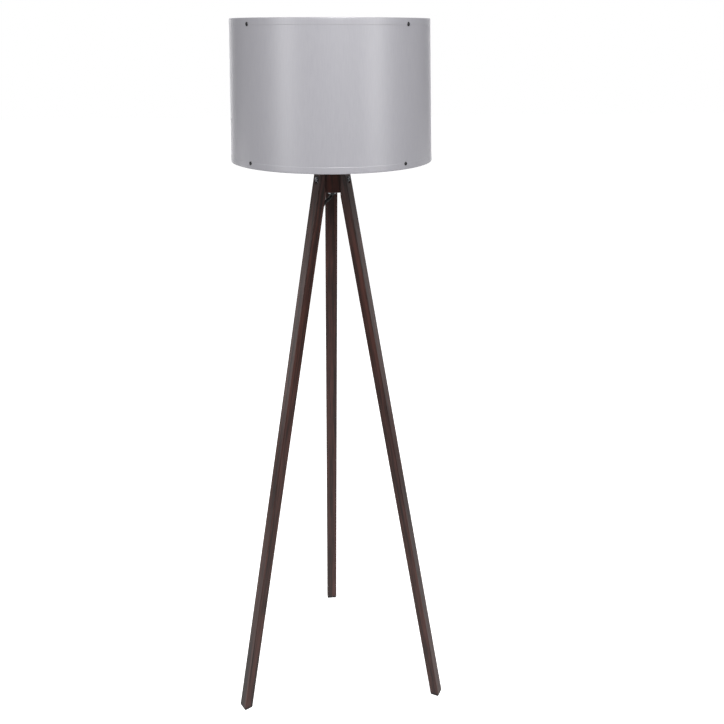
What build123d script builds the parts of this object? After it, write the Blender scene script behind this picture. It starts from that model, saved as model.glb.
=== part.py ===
from build123d import *
import os
from math import atan, cos, pi, radians, sin, tan

# Tripod floor lamp: three straight wooden legs bolted to a hexagonal hub, a threaded
# stem through the hub, an E27 lampholder on the stem, and a drum shade clamped on it.
# Millimetres. +Z is up, the floor is z = 0, the stem is the Z axis and the rear leg is at +Y.

os.makedirs("parts", exist_ok=True)

# ---------------------------------------------------------------- stand
foot_circle_radius = 256.0  # leg centreline to the stem's axis, at the floor
head_circle_radius = 21.6  # the same, at the top of the hub
leg_width = 24.0  # across the leg, along the hub's flat
leg_depth = 19.0  # through the leg, square to its long faces
leg_edge_round = 1.6
leg_spare = 30.0  # length past each level cut, before the leg is cut
leg_azimuths = {"left": 210.0, "right": 330.0, "rear": 90.0}

pad_height = 3.0
pad_inset = 0.4
pad_edge_chamfer = 0.6

hub_top = 1205.0
hub_height = 50.0
hub_across_flats = 47.0
hub_edge_chamfer = 0.8
stem_hole_clearance = 0.2  # on the radius

# ---------------------------------------------------------------- leg fasteners
bolt_drop = 25.0  # below the top of the hub
bolt_shank_radius = 3.0
bolt_length = 20.0
bolt_hole_clearance = 0.3
bolt_flange_radius = 6.8
bolt_flange_thickness = 0.7
bolt_head_height = 3.3
bolt_dome_radius = 5.2
bolt_crown_radius = 2.8
bolt_flange_rise = 0.2  # from the flange's rim to the foot of the dome
bolt_dome_bulge = (0.83, 0.74)  # share of the dome's radius and of the head's height
bolt_tip_chamfer = 0.5
bolt_socket_across_flats = 4.0
bolt_socket_depth = 2.0
spotface_clearance = 0.4
spotface_least_depth = 0.3

insert_radius = 4.5
insert_length = 13.0
insert_bore_clearance = 0.05
insert_flange_radius = 5.2
insert_flange_thickness = 0.8

dowel_rise = 8.0  # above the bottom of the hub
dowel_radius = 3.0
dowel_length = 18.0
dowel_end_chamfer = 0.6
glue_gap = 0.05

# ---------------------------------------------------------------- stem
stem_radius = 5.0
stem_bore_radius = 4.0
stem_past_nut = 0.5
stem_short_of_floor = 0.5  # below the inside of the lampholder's floor
washer_thickness = 1.5
lower_washer_radius = 9.0
upper_washer_radius = 11.0
nut_across_flats = 14.0
nut_height = 4.0
nut_chamfer = 0.5
thread_clearance = 0.08
bushing_flange_radius = 5.6
bushing_flange_thickness = 1.2
bushing_length = 9.0
bushing_wall_clearance = 0.08
bushing_mouth_round = 0.8
bushing_cord_clearance = 0.15

# ---------------------------------------------------------------- lampholder
cap_boss_radius = 8.5
cap_boss_height = 3.5
cap_height = 21.5  # its top is the shoulder that carries the shade
cap_flare_height = 9.5
cap_flare_radius = 22.0
cap_floor_thickness = 7.0
cap_floor_ramp_width = 3.0
cap_floor_ramp_height = 2.5
cap_cavity_inset = 2.25  # from the shell's thread to the cap's cavity
cap_shoulder_width = 3.25  # outside the shell's thread, under the shade's centre ring
shell_thread_radius = 19.75
shell_thread_depth = 0.65
shell_wall = 1.95
shell_engagement = 6.0
shell_height = 46.0
shell_pitch = 2.5
shell_lead_in = 4.0
shell_plain_top = 1.0  # left without thread
core_gap = 0.3
core_height = 18.0
core_edge_chamfer = 1.5
sleeve_wall = 0.6
sleeve_height = 24.0
contact_strip_width = 7.0
contact_strip_length = 13.0
contact_strip_thickness = 0.5
contact_strip_rise = 2.6
terminal_offset = 9.0
terminal_size = 4.0
terminal_height = 4.5
terminal_screw_radius = 1.5
terminal_screw_drop = 1.2
conductor_radius = 1.0
conductor_offset = 1.5
conductor_bend = 1.5
lead_above_stem = 2.0

switch_azimuth = 82.0
switch_rise = 11.0  # above the bottom of the lampholder
spindle_radius = 2.0
spindle_inner_reach = 10.5
spindle_fit = 0.06
spindle_collar_radius = 2.9
spindle_collar_thickness = 2.0
knob_radius = 5.5
knob_length = 13.0
knob_gap = 1.2
knob_bore_depth = 9.0
knob_flute_radius = 0.7
knob_flute_count = 14
knob_face_inset = 1.2
knob_face_rise = 0.8

ring_gap = 0.35  # the ring nut and the shade's centre ring, around the shell
ring_flange_width = 7.75  # outside the shell's thread
ring_flange_thickness = 2.0
ring_grip_width = 4.85  # outside the shell's thread
ring_grip_height = 9.0
ring_notch_radius = 1.1
ring_notch_count = 24

# ---------------------------------------------------------------- bulb
bulb_cap_radius = 13.0
bulb_gap = 0.3
bulb_cap_height = 19.5
bulb_cap_pitch = 3.62
bulb_thread_depth = 0.9
bulb_cap_plain_top = 2.0  # left without thread
bulb_insulator_height = 3.5
bulb_insulator_radius = 9.5
bulb_tip_radius = 5.0
bulb_tip_height = 2.2
bulb_tip_round = 1.5
bulb_insulator_rim = 0.8  # round the tip
bulb_length = 108.0
bulb_radius = 30.0
bulb_wall = 0.9
bulb_neck_radius = 12.6
bulb_neck_height = 6.0
bulb_shoulder_angle = 38.0  # below the widest place, where the neck's curve ends

# ---------------------------------------------------------------- shade
shade_bottom_radius = 192.5
shade_top_radius = 182.5
shade_drop = 15.0  # from the lampholder's shoulder to the shade's bottom edge
shade_height = 250.0
shade_wall = 1.0
hoop_height = 16.0
hoop_thickness = 1.2
hoop_edge_offset = 2.0
frame_gap = 0.3
arm_width = 12.0
arm_thickness = 1.5
tab_length = 14.0
centre_ring_width = 8.75  # outside the shell's thread
rivet_edge_offset = 10.0  # from the shade's top or bottom edge to the rivets
rivet_head_radius = 3.4
rivet_head_height = 1.4
rivet_shank_radius = 1.5
rivet_tail_radius = 2.8
rivet_tail_height = 0.9
rivet_dome_bulge = (0.72, 0.74)  # share of the head's radius and of its height
rivet_flat_share = 0.25  # of the head's radius
rivet_head_lift = 0.05  # the rise of the cover's curve across the head
rivet_end_gap = 0.1
rivet_hole_clearance = 0.1
lower_rivet_azimuths = (37.5, 129.5, 217.5, 309.5)
upper_rivet_azimuths = (36.0, 133.0, 216.0, 313.0)

# ---------------------------------------------------------------- mains cord
cord_diameter = 6.0
cord_radius = cord_diameter / 2
bend_share = 0.45  # of the shorter run next to a bend, that the bend takes up
# From inside the stem's end bushing, across to the left leg and down its inner
# face, to the top of the hank. The last run is in line with the hank's straight runs.
cord_route = [
    (0.0, 0.0, 1152.0),
    (0.0, 0.0, 1143.5),
    (-20.4, -6.6, 1131.5),
    (-29.9, -11.0, 1085.5),
    (-41.8, -17.0, 1017.5),
    (-55.9, -24.5, 935.5),
    (-70.1, -32.7, 851.5),
    (-84.0, -41.2, 767.5),
    (-97.2, -49.4, 687.5),
    (-110.6, -57.4, 607.5),
    (-122.9, -64.1, 535.5),
    (-133.5, -69.6, 473.5),
    (-141.3, -70.5, 426.4),
    (-147.6, -69.7, 393.8),
    (-152.4, -72.5, 365.3),
]
# From the bottom of the hank to the plug's strain relief.
tail_route = [
    (0.0, 0.0, 0.0),
    (0.0, -13.0, 0.0),
    (3.0, -29.0, 2.4),
    (9.4, -45.0, 4.8),
    (14.0, -60.0, 6.0),
    (14.6, -74.0, 6.2),
]  # in the hank's own frame: across the fold, up, and through its thickness
hank_run = 120.0  # between the fold centres: 20 diameters
hank_fold_radius = 18.0  # 3 diameters
hank_layers = 3
hank_stub = 24.0  # cord in line with the near run, above and below the folds
hank_depth_direction = (0.063, 0.992, -0.107)  # from the near run to the far run
tie_gap = 0.3
tie_thickness = 1.2
tie_height = 14.0
tie_corner_round = 2.0
mount_height = 12.0
mount_gap = 0.1
mount_edge_clearance = 0.4  # from the leg's rounded edge
mount_outer = -2.0  # across the leg's side, from its middle
clip_runs = (3, 5, 7, 9)  # the runs of the cord that a clip holds, at their middles
clip_clearance = 0.3
clip_wall = 1.4
clip_length = 9.0
clip_base_width = 15.0
clip_base_thickness = 1.2
clip_face_offset = 3.3  # from the cord's centre to the clip's back

relief_length = 24.0
relief_tip_radius = 3.9
relief_base_radius = 5.6
plug_length = 35.0
plug_sections = (
    (0.0, 18.0, 12.2),
    (0.45, 26.0, 12.9),
    (0.8, 35.3, 13.7),
    (1.0, 35.3, 13.7),
)  # share of the length from the strain relief, width and thickness
plug_edge_round = 2.2
pin_radius = 2.0
pin_length = 19.0
pin_spacing = 18.6
pin_seat = 8.0
pin_end_chamfer = 0.8

# ---------------------------------------------------------------- worked out
leg_slope = (foot_circle_radius - head_circle_radius) / hub_top
leg_lean = atan(leg_slope)
half_depth_level = leg_depth / 2 / cos(leg_lean)  # half the leg's depth on a level cut
hub_flat = hub_across_flats / 2
cap_radius = shell_thread_radius + cap_shoulder_width
cap_cavity_radius = shell_thread_radius - cap_cavity_inset
shell_root_radius = shell_thread_radius - shell_thread_depth
shell_bore_radius = shell_thread_radius - shell_wall
ring_flange_radius = shell_thread_radius + ring_flange_width
ring_grip_radius = shell_thread_radius + ring_grip_width
centre_ring_radius = shell_thread_radius + centre_ring_width
hub_bottom = hub_top - hub_height
bolt_height = hub_top - bolt_drop
dowel_height = hub_bottom + dowel_rise
seat_radius_height = bolt_height + bolt_flange_radius + spotface_clearance
cap_bottom = hub_top + washer_thickness + nut_height
stem_bottom = hub_bottom - washer_thickness - nut_height - stem_past_nut
stem_top = cap_bottom + cap_floor_thickness - stem_short_of_floor
switch_height = cap_bottom + switch_rise
shoulder = cap_bottom + cap_height
shade_bottom = shoulder - shade_drop
shade_top = shade_bottom + shade_height
core_bottom = shoulder - shell_engagement
core_top = core_bottom + core_height
bulb_bottom = core_top + contact_strip_rise + bulb_gap
bulb_cap_bottom = bulb_bottom + bulb_tip_height + bulb_insulator_height
bulb_cap_top = bulb_cap_bottom + bulb_cap_height
shade_taper = (shade_bottom_radius - shade_top_radius) / shade_height
# insets from the shade's outer face
hoop_outer_inset = shade_wall + frame_gap
hoop_inner_inset = hoop_outer_inset + hoop_thickness
arm_end_inset = hoop_inner_inset + frame_gap
tab_inner_inset = arm_end_inset + arm_thickness
lower_rivet_height = shade_bottom + rivet_edge_offset
upper_rivet_height = shade_top - rivet_edge_offset


def leg_centre_radius(height):
    """Distance of a leg's centreline from the stem's axis at a height."""
    return foot_circle_radius - leg_slope * height


def leg_plane(azimuth):
    """Upright plane through the stem and a leg: x runs outwards and y runs up."""
    a = radians(azimuth)
    return Plane(origin=(0, 0, 0), x_dir=(cos(a), sin(a), 0), z_dir=(sin(a), -cos(a), 0))


def outward_plane(azimuth, radius, height):
    """Plane that faces outwards at a radius: x runs level and y runs up."""
    a = radians(azimuth)
    return Plane(
        origin=(radius * cos(a), radius * sin(a), height),
        x_dir=(-sin(a), cos(a), 0),
        z_dir=(cos(a), sin(a), 0),
    )


def shade_radius_at(height):
    """Radius of the shade's outer face at a height."""
    return shade_bottom_radius - shade_taper * (height - shade_bottom)


def shade_face_plane(azimuth, height, inset):
    """Plane square to the shade's tapered face, an inset inside it: z runs outwards."""
    a = radians(azimuth)
    outward = Vector(cos(a), sin(a), shade_taper).normalized()
    on_face = Vector(cos(a), sin(a), 0) * shade_radius_at(height) + Vector(0, 0, height)
    return Plane(origin=on_face - outward * inset, x_dir=(-sin(a), cos(a), 0), z_dir=outward)


def arc_radii(points):
    """Radius of each bend: the bend's share of the shorter run, over tan(half the turn)."""
    vectors = [Vector(*p) for p in points]
    radii = []
    for a, b, c in zip(vectors, vectors[1:], vectors[2:]):
        half_turn = radians((b - a).get_angle(c - b)) / 2
        radii.append(bend_share * min((b - a).length, (c - b).length) / tan(half_turn))
    return radii


def write(builder, name):
    """Label a finished piece and write it as a STEP file."""
    builder.part.label = name
    export_step(builder.part, f"parts/{name}.step")


# ================================================================ legs
seat_radius = leg_centre_radius(seat_radius_height) + half_depth_level - spotface_least_depth
spotface_radius = bolt_flange_radius + spotface_clearance
for name, azimuth in leg_azimuths.items():
    a = radians(azimuth)
    outward = Vector(cos(a), sin(a), 0)
    section_plane = Plane(
        origin=outward * leg_centre_radius(-leg_spare) - Vector(0, 0, leg_spare),
        x_dir=outward * cos(leg_lean) + Vector(0, 0, sin(leg_lean)),
        z_dir=outward * -sin(leg_lean) + Vector(0, 0, cos(leg_lean)),
    )
    with BuildPart() as leg:
        with BuildSketch(section_plane):
            RectangleRounded(leg_depth, leg_width, leg_edge_round)
        extrude(amount=hub_top + 4 * leg_spare)
        split(bisect_by=Plane.XY.offset(pad_height), keep=Keep.TOP)
        split(bisect_by=Plane.XY.offset(hub_top), keep=Keep.BOTTOM)
        split(bisect_by=outward_plane(azimuth, hub_flat, hub_top), keep=Keep.TOP)
        with BuildSketch(outward_plane(azimuth, seat_radius, bolt_height)):
            Circle(spotface_radius)
        extrude(amount=leg_depth, mode=Mode.SUBTRACT)
        with BuildSketch(outward_plane(azimuth, hub_flat, bolt_height)):
            Circle(bolt_shank_radius + bolt_hole_clearance)
        extrude(amount=leg_depth, mode=Mode.SUBTRACT)
        with BuildSketch(outward_plane(azimuth, hub_flat, dowel_height)):
            Circle(dowel_radius + glue_gap)
        extrude(amount=dowel_length / 2 + glue_gap, mode=Mode.SUBTRACT)
    write(leg, f"leg_{name}")

# ================================================================ foot pads
with BuildPart() as foot_pads:
    for azimuth in leg_azimuths.values():
        a = radians(azimuth)
        pad_r = leg_centre_radius(pad_height)
        pad_plane = Plane(
            origin=(pad_r * cos(a), pad_r * sin(a), 0), x_dir=(cos(a), sin(a), 0), z_dir=(0, 0, 1)
        )
        with BuildSketch(pad_plane):
            RectangleRounded(
                2 * (half_depth_level - pad_inset), leg_width - 2 * pad_inset, leg_edge_round
            )
        extrude(amount=pad_height)
    chamfer(foot_pads.edges().group_by(Axis.Z)[0], length=pad_edge_chamfer)
write(foot_pads, "foot_pads")

# ================================================================ hub
with BuildPart() as hub:
    with BuildSketch(Plane.XY.offset(hub_bottom)):
        RegularPolygon(hub_flat, side_count=6, major_radius=False)
    extrude(amount=hub_top - hub_bottom)
    chamfer(hub.edges().group_by(Axis.Z)[0], length=hub_edge_chamfer)
    chamfer(hub.edges().group_by(Axis.Z)[-1], length=hub_edge_chamfer)
    with BuildSketch(Plane.XY.offset(hub_bottom)):
        Circle(stem_radius + stem_hole_clearance)
    extrude(amount=hub_top - hub_bottom, mode=Mode.SUBTRACT)
    for azimuth in leg_azimuths.values():
        with BuildSketch(outward_plane(azimuth, hub_flat, bolt_height)):
            Circle(insert_radius + glue_gap)
        extrude(amount=-(insert_length + glue_gap), mode=Mode.SUBTRACT)
        with BuildSketch(outward_plane(azimuth, hub_flat, bolt_height)):
            Circle(insert_flange_radius + glue_gap)
        extrude(amount=-insert_flange_thickness - glue_gap, mode=Mode.SUBTRACT)
        with BuildSketch(outward_plane(azimuth, hub_flat, dowel_height)):
            Circle(dowel_radius + glue_gap)
        extrude(amount=-(dowel_length / 2 + glue_gap), mode=Mode.SUBTRACT)
write(hub, "hub")

# ================================================================ bolts, inserts, dowels
# One bolt, seated at the origin with its head above the XY plane.
with BuildPart() as one_bolt:
    with BuildSketch(Plane.XZ):
        with BuildLine():
            Polyline(
                (0, bolt_head_height),
                (0, 0),
                (bolt_flange_radius, 0),
                (bolt_flange_radius, bolt_flange_thickness),
                (bolt_dome_radius, bolt_flange_thickness + bolt_flange_rise),
            )
            ThreePointArc(
                (bolt_dome_radius, bolt_flange_thickness + bolt_flange_rise),
                (bolt_dome_radius * bolt_dome_bulge[0], bolt_head_height * bolt_dome_bulge[1]),
                (bolt_crown_radius, bolt_head_height),
            )
            Line((bolt_crown_radius, bolt_head_height), (0, bolt_head_height))
        make_face()
    revolve(axis=Axis.Z)
    with BuildSketch(Plane.XY):
        Circle(bolt_shank_radius)
    extrude(amount=-bolt_length)
    chamfer(one_bolt.edges().group_by(Axis.Z)[0], length=bolt_tip_chamfer)
    with BuildSketch(Plane.XY.offset(bolt_head_height)):
        RegularPolygon(bolt_socket_across_flats / 2, side_count=6, major_radius=False)
    extrude(amount=-bolt_socket_depth, mode=Mode.SUBTRACT)

with BuildPart() as leg_bolts:
    with Locations(*[outward_plane(a, seat_radius, bolt_height) for a in leg_azimuths.values()]):
        add(one_bolt.part)
write(leg_bolts, "leg_bolts")

with BuildPart() as threaded_inserts:
    for azimuth in leg_azimuths.values():
        with BuildSketch(outward_plane(azimuth, hub_flat, bolt_height)):
            Circle(insert_radius)
        extrude(amount=-insert_length)
        with BuildSketch(outward_plane(azimuth, hub_flat, bolt_height)):
            Circle(insert_flange_radius)
        extrude(amount=-insert_flange_thickness)
        with BuildSketch(outward_plane(azimuth, hub_flat, bolt_height)):
            Circle(bolt_shank_radius + insert_bore_clearance)
        extrude(amount=-insert_length, mode=Mode.SUBTRACT)
write(threaded_inserts, "threaded_inserts")

with BuildPart() as one_dowel:
    Cylinder(dowel_radius, dowel_length)
    chamfer(one_dowel.edges().filter_by(GeomType.CIRCLE), length=dowel_end_chamfer)

with BuildPart() as locating_dowels:
    with Locations(*[outward_plane(a, hub_flat, dowel_height) for a in leg_azimuths.values()]):
        add(one_dowel.part)
write(locating_dowels, "locating_dowels")

# ================================================================ stem, washers, nuts, bushing
with BuildPart() as stem_tube:
    with BuildSketch(Plane.XY.offset(stem_bottom)):
        Circle(stem_radius)
        Circle(stem_bore_radius, mode=Mode.SUBTRACT)
    extrude(amount=stem_top - stem_bottom)
write(stem_tube, "stem_tube")

lower_washer_bottom = hub_bottom - washer_thickness
washers = {
    "lower_washer": (lower_washer_bottom, lower_washer_radius),
    "upper_washer": (hub_top, upper_washer_radius),
}
for name, (bottom, radius) in washers.items():
    with BuildPart() as washer:
        with BuildSketch(Plane.XY.offset(bottom)):
            Circle(radius)
            Circle(stem_radius + stem_hole_clearance, mode=Mode.SUBTRACT)
        extrude(amount=washer_thickness)
    write(washer, name)

nuts = {
    "lower_nut": lower_washer_bottom - nut_height,
    "upper_nut": hub_top + washer_thickness,
}
for name, bottom in nuts.items():
    with BuildPart() as nut:
        with BuildSketch(Plane.XY.offset(bottom)):
            RegularPolygon(nut_across_flats / 2, side_count=6, major_radius=False)
        extrude(amount=nut_height)
        chamfer(nut.edges().group_by(Axis.Z)[0], length=nut_chamfer)
        chamfer(nut.edges().group_by(Axis.Z)[-1], length=nut_chamfer)
        with BuildSketch(Plane.XY.offset(bottom)):
            Circle(stem_radius + thread_clearance)
        extrude(amount=nut_height, mode=Mode.SUBTRACT)
    write(nut, name)

bushing_bottom = stem_bottom - bushing_flange_thickness
with BuildPart() as end_bushing:
    with BuildSketch(Plane.XY.offset(bushing_bottom)):
        Circle(bushing_flange_radius)
    extrude(amount=bushing_flange_thickness)
    with BuildSketch(Plane.XY.offset(stem_bottom)):
        Circle(stem_bore_radius - bushing_wall_clearance)
    extrude(amount=bushing_length)
    fillet(end_bushing.edges().group_by(Axis.Z)[0], radius=bushing_mouth_round / 2)
    with BuildSketch(Plane.XY.offset(bushing_bottom)):
        Circle(cord_radius + bushing_cord_clearance)
    extrude(amount=bushing_length + bushing_flange_thickness, mode=Mode.SUBTRACT)
    mouth = end_bushing.edges().filter_by(GeomType.CIRCLE).group_by(Axis.Z)[0].sort_by(SortBy.RADIUS)[0]
    fillet(mouth, radius=bushing_mouth_round)
write(end_bushing, "end_bushing")

# ================================================================ lampholder
with BuildPart() as holder_cap:
    with BuildSketch(Plane.XZ):
        with BuildLine():
            Polyline(
                (stem_radius + thread_clearance, cap_bottom + cap_floor_thickness),
                (stem_radius + thread_clearance, cap_bottom),
                (cap_boss_radius, cap_bottom),
                (cap_boss_radius, cap_bottom + cap_boss_height),
            )
            RadiusArc(
                (cap_boss_radius, cap_bottom + cap_boss_height),
                (cap_radius, cap_bottom + cap_flare_height),
                -cap_flare_radius,
            )
            Polyline(
                (cap_radius, cap_bottom + cap_flare_height),
                (cap_radius, shoulder),
                (shell_thread_radius + ring_gap, shoulder),
                (shell_thread_radius + ring_gap, core_bottom),
                (cap_cavity_radius, core_bottom),
                (cap_cavity_radius, cap_bottom + cap_floor_thickness + cap_floor_ramp_height),
                (cap_boss_radius + cap_floor_ramp_width, cap_bottom + cap_floor_thickness),
                (stem_radius + thread_clearance, cap_bottom + cap_floor_thickness),
            )
        make_face()
    revolve(axis=Axis.Z)
    with BuildSketch(outward_plane(switch_azimuth, spindle_inner_reach, switch_height)):
        Circle(spindle_radius + spindle_fit)
    extrude(amount=cap_radius, mode=Mode.SUBTRACT)
write(holder_cap, "holder_cap")

shell_bottom = core_bottom
shell_top = shell_bottom + shell_height
thread_points = [(shell_thread_radius, shell_bottom)]
turn_height = shoulder + shell_lead_in
while turn_height + shell_pitch < shell_top - shell_plain_top:
    thread_points.append((shell_thread_radius, turn_height))
    thread_points.append((shell_root_radius, turn_height + shell_pitch / 2))
    turn_height += shell_pitch
thread_points += [
    (shell_thread_radius, turn_height),
    (shell_thread_radius, shell_top),
    (shell_bore_radius, shell_top),
    (shell_bore_radius, shell_bottom),
]
with BuildPart() as holder_shell:
    with BuildSketch(Plane.XZ):
        with BuildLine():
            Polyline(*thread_points, close=True)
        make_face()
    revolve(axis=Axis.Z)
write(holder_shell, "holder_shell")

core_radius = shell_bore_radius - core_gap
with BuildPart() as holder_core:
    with BuildSketch(Plane.XY.offset(core_bottom)):
        Circle(core_radius)
    extrude(amount=core_height)
    chamfer(holder_core.edges().group_by(Axis.Z)[-1], length=core_edge_chamfer)
write(holder_core, "holder_core")

sleeve_bore = bulb_cap_radius + bulb_gap
with BuildPart() as screw_sleeve:
    with BuildSketch(Plane.XY.offset(core_top)):
        Circle(sleeve_bore + sleeve_wall)
        Circle(sleeve_bore, mode=Mode.SUBTRACT)
    extrude(amount=sleeve_height)
write(screw_sleeve, "screw_sleeve")

with BuildPart() as centre_contact:
    with BuildSketch(Plane.XZ):
        with BuildLine():
            Polyline(
                (-contact_strip_length / 2, core_top),
                (contact_strip_length / 2, core_top),
                (contact_strip_length / 2, core_top + contact_strip_thickness),
                (contact_strip_length / 4, core_top + contact_strip_rise),
                (-contact_strip_length / 4, core_top + contact_strip_rise),
                (-contact_strip_length / 4, core_top + contact_strip_rise - contact_strip_thickness),
                (contact_strip_length / 5, core_top + contact_strip_rise - contact_strip_thickness),
                (contact_strip_length / 3, core_top + contact_strip_thickness),
                (-contact_strip_length / 2, core_top + contact_strip_thickness),
                close=True,
            )
        make_face()
    extrude(amount=contact_strip_width / 2, both=True)
write(centre_contact, "centre_contact")

with BuildPart() as terminals:
    for side in (-1, 1):
        with BuildSketch(Plane.XY.offset(core_bottom)):
            with Locations((side * terminal_offset, 0)):
                Rectangle(terminal_size, terminal_size)
        extrude(amount=-terminal_height)
        with BuildSketch(Plane.XY.offset(core_bottom - terminal_height)):
            with Locations((side * terminal_offset, 0)):
                Circle(terminal_screw_radius)
        extrude(amount=-terminal_screw_drop)
write(terminals, "terminals")

lead_top = stem_top + lead_above_stem
with BuildPart() as inner_lead:
    with BuildSketch(Plane.XY.offset(cord_route[0][2])):
        Circle(cord_radius)
    extrude(amount=lead_top - cord_route[0][2])
write(inner_lead, "inner_lead")

conductor_height = core_bottom - terminal_height / 2
with BuildPart() as lead_conductors:
    for side in (-1, 1):
        with BuildLine() as conductor_path:
            FilletPolyline(
                (side * conductor_offset, 0, lead_top),
                (side * conductor_offset, 0, conductor_height),
                (side * (terminal_offset - terminal_size / 2), 0, conductor_height),
                radius=conductor_bend,
            )
        with BuildSketch(Plane(origin=(side * conductor_offset, 0, lead_top), z_dir=(0, 0, 1))):
            Circle(conductor_radius)
        sweep(path=conductor_path.wire())
write(lead_conductors, "lead_conductors")

# ================================================================ rotary switch
knob_start = cap_radius + knob_gap
with BuildPart() as switch_spindle:
    with BuildSketch(outward_plane(switch_azimuth, spindle_inner_reach, switch_height)):
        Circle(spindle_radius)
    extrude(amount=knob_start + knob_bore_depth - spindle_inner_reach - spindle_fit)
    with BuildSketch(outward_plane(switch_azimuth, spindle_inner_reach, switch_height)):
        Circle(spindle_collar_radius)
    extrude(amount=spindle_collar_thickness)
write(switch_spindle, "switch_spindle")

knob_plane = outward_plane(switch_azimuth, knob_start, switch_height)
with BuildPart() as switch_knob:
    with BuildSketch(knob_plane):
        Circle(knob_radius)
        with PolarLocations(knob_radius, knob_flute_count):
            Circle(knob_flute_radius, mode=Mode.SUBTRACT)
    extrude(amount=knob_length)
    with BuildSketch(knob_plane.offset(knob_length)):
        Circle(knob_radius - knob_face_inset)
    extrude(amount=knob_face_rise)
    with BuildSketch(knob_plane):
        Circle(spindle_radius + spindle_fit)
    extrude(amount=knob_bore_depth, mode=Mode.SUBTRACT)
write(switch_knob, "switch_knob")

# ================================================================ ring nut that clamps the shade
ring_bore = shell_thread_radius + ring_gap
ring_bottom = shoulder + arm_thickness
with BuildPart() as shade_ring_nut:
    with BuildSketch(Plane.XY.offset(ring_bottom)):
        Circle(ring_flange_radius)
    extrude(amount=ring_flange_thickness)
    with BuildSketch(Plane.XY.offset(ring_bottom)):
        Circle(ring_grip_radius)
        with PolarLocations(ring_grip_radius, ring_notch_count):
            Circle(ring_notch_radius, mode=Mode.SUBTRACT)
    extrude(amount=ring_grip_height)
    with BuildSketch(Plane.XY.offset(ring_bottom)):
        Circle(ring_bore)
    extrude(amount=ring_grip_height, mode=Mode.SUBTRACT)
write(shade_ring_nut, "shade_ring_nut")

# ================================================================ bulb
bulb_centre = bulb_bottom + bulb_length - bulb_radius


def bulb_outline(inset):
    """Half outline of the glass, the given distance inside its outer face."""
    radius = bulb_radius - inset
    neck = bulb_neck_radius - inset
    angle = radians(bulb_shoulder_angle)
    low = (neck, bulb_cap_top)
    neck_top = (neck, bulb_cap_top + bulb_neck_height)
    joint = (radius * cos(angle), bulb_centre - radius * sin(angle))
    Line((0, bulb_cap_top), low)
    Line(low, neck_top)
    Spline(neck_top, joint, tangents=((0, 1), (sin(angle), cos(angle))))
    ThreePointArc(joint, (radius, bulb_centre), (0, bulb_centre + radius))
    Line((0, bulb_centre + radius), (0, bulb_cap_top))


with BuildPart() as bulb_glass:
    with BuildSketch(Plane.XZ):
        with BuildLine():
            bulb_outline(0)
        make_face()
    revolve(axis=Axis.Z)
    with BuildSketch(Plane.XZ):
        with BuildLine():
            bulb_outline(bulb_wall)
        make_face()
    revolve(axis=Axis.Z, mode=Mode.SUBTRACT)
write(bulb_glass, "bulb_glass")

cap_points = [(0, bulb_cap_bottom), (bulb_insulator_radius, bulb_cap_bottom)]
turn_height = bulb_cap_bottom + bulb_cap_pitch / 2
while turn_height + bulb_cap_pitch < bulb_cap_top - bulb_cap_plain_top:
    cap_points.append((bulb_cap_radius - bulb_thread_depth, turn_height))
    cap_points.append((bulb_cap_radius, turn_height + bulb_cap_pitch / 2))
    turn_height += bulb_cap_pitch
cap_points += [
    (bulb_cap_radius - bulb_thread_depth, turn_height),
    (bulb_cap_radius, bulb_cap_top),
    (0, bulb_cap_top),
]
with BuildPart() as bulb_cap:
    with BuildSketch(Plane.XZ):
        with BuildLine():
            Polyline(*cap_points, close=True)
        make_face()
    revolve(axis=Axis.Z)
write(bulb_cap, "bulb_cap")

with BuildPart() as bulb_insulator:
    with BuildSketch(Plane.XY.offset(bulb_cap_bottom - bulb_insulator_height)):
        Circle(bulb_tip_radius + bulb_insulator_rim)
    with BuildSketch(Plane.XY.offset(bulb_cap_bottom)):
        Circle(bulb_insulator_radius)
    loft()
write(bulb_insulator, "bulb_insulator")

with BuildPart() as bulb_tip:
    with BuildSketch(Plane.XY.offset(bulb_bottom)):
        Circle(bulb_tip_radius)
    extrude(amount=bulb_tip_height)
    fillet(bulb_tip.edges().group_by(Axis.Z)[0], radius=bulb_tip_round)
write(bulb_tip, "bulb_tip")

# ================================================================ shade
hoops = {
    "lower_hoop": (shade_bottom + hoop_edge_offset, lower_rivet_height, lower_rivet_azimuths),
    "upper_hoop": (
        shade_top - hoop_edge_offset - hoop_height,
        upper_rivet_height,
        upper_rivet_azimuths,
    ),
}
rivet_hole_radius = rivet_shank_radius + rivet_hole_clearance


def cut_rivet_holes(inset, height, azimuths):
    """Cut the rivets' holes from an inset outwards, through the shade's edge."""
    for azimuth in azimuths:
        with BuildSketch(shade_face_plane(azimuth, height, inset)) as hole:
            Circle(rivet_hole_radius)
        extrude(hole.sketch, amount=2 * inset, mode=Mode.SUBTRACT)


def tapered_band(bottom, top, outer_inset, inner_inset):
    """Ring that follows the shade's taper, between two insets from its outer face."""
    with BuildPart() as band:
        with BuildSketch(Plane.XZ):
            with BuildLine():
                Polyline(
                    (shade_radius_at(bottom) - outer_inset, bottom),
                    (shade_radius_at(top) - outer_inset, top),
                    (shade_radius_at(top) - inner_inset, top),
                    (shade_radius_at(bottom) - inner_inset, bottom),
                    close=True,
                )
            make_face()
        revolve(axis=Axis.Z)
    return band.part


with BuildPart() as shade_cover:
    add(tapered_band(shade_bottom, shade_top, 0, shade_wall))
    for bottom, height, azimuths in hoops.values():
        cut_rivet_holes(hoop_inner_inset, height, azimuths)
write(shade_cover, "shade_cover")

for name, (bottom, height, azimuths) in hoops.items():
    with BuildPart() as hoop:
        add(tapered_band(bottom, bottom + hoop_height, hoop_outer_inset, hoop_inner_inset))
        cut_rivet_holes(tab_inner_inset, height, azimuths)
    write(hoop, name)

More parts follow.
